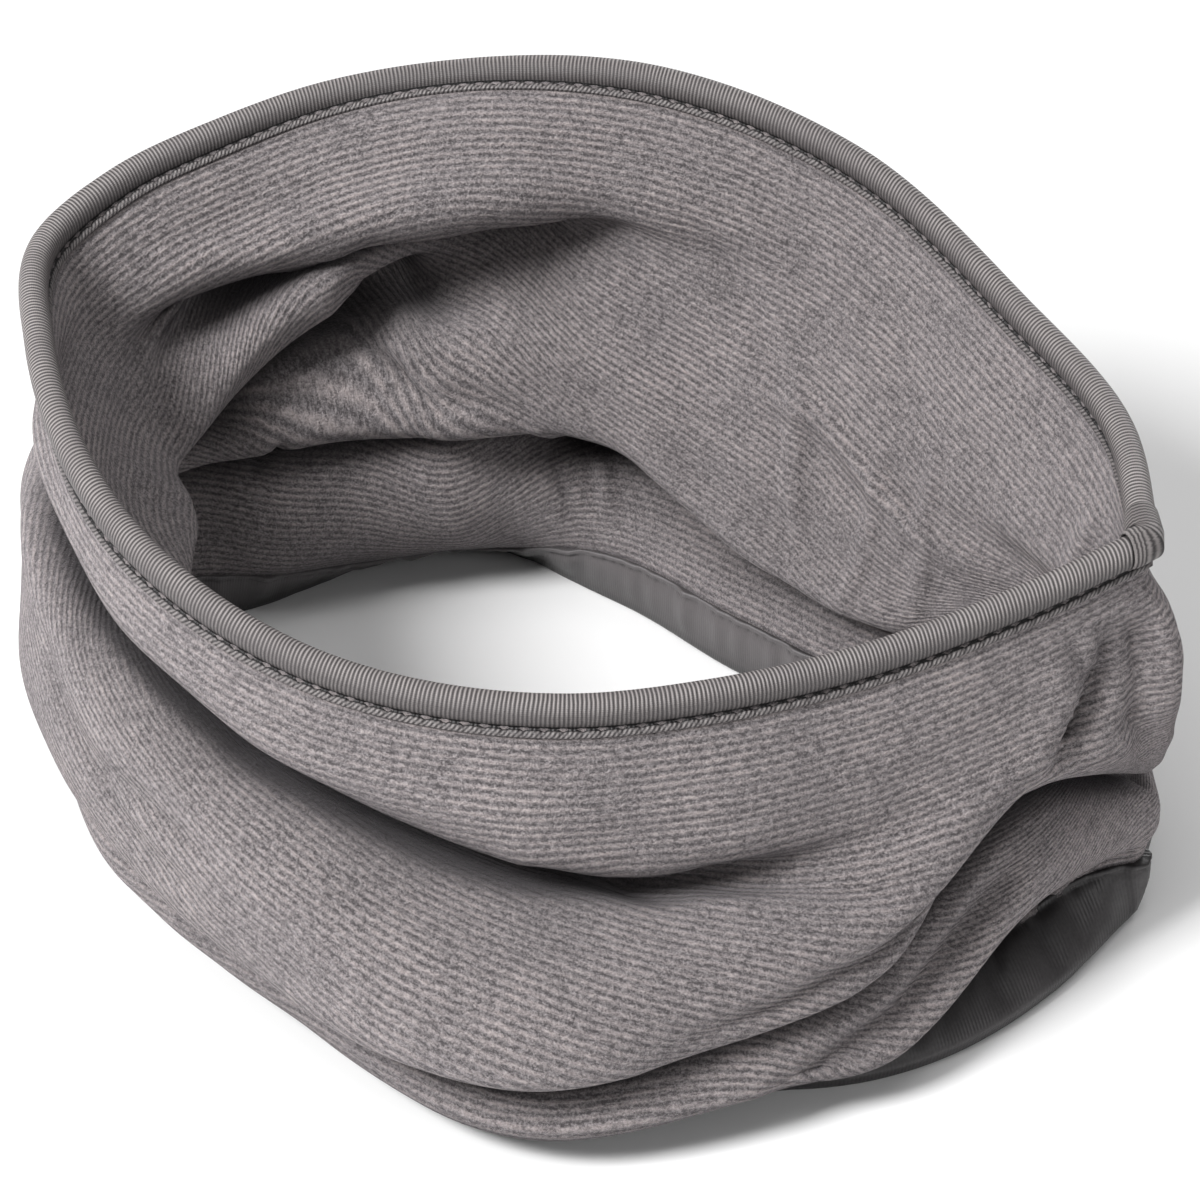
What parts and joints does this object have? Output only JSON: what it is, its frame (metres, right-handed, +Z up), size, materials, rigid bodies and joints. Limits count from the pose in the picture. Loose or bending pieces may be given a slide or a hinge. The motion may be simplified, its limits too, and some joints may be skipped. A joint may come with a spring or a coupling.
{
  "type": "fleece snood",
  "caption": "Open tube of ribbed fleece for the neck, scrunched down into soft folds, standing on its hem, with a satin-bound top and bottom edge.",
  "frame": {"origin": "under the middle of the whole, on the plane that the hem stands on", "axes": "+X towards the seam at the right-hand tip, +Y towards the high back rim, +Z up"},
  "size_m": [0.2279, 0.1788, 0.1174],
  "materials": {
    "fleece": "brushed ribbed fleece, warm mauve grey, matt",
    "satin": "ribbed satin ribbon, dark mauve grey, soft sheen"
  },
  "bodies": {
    "root": {"fleece_body": "fleece", "top_binding": "satin", "top_binding_end": "satin", "hem_binding": "satin"}
  },
  "joints": []
}
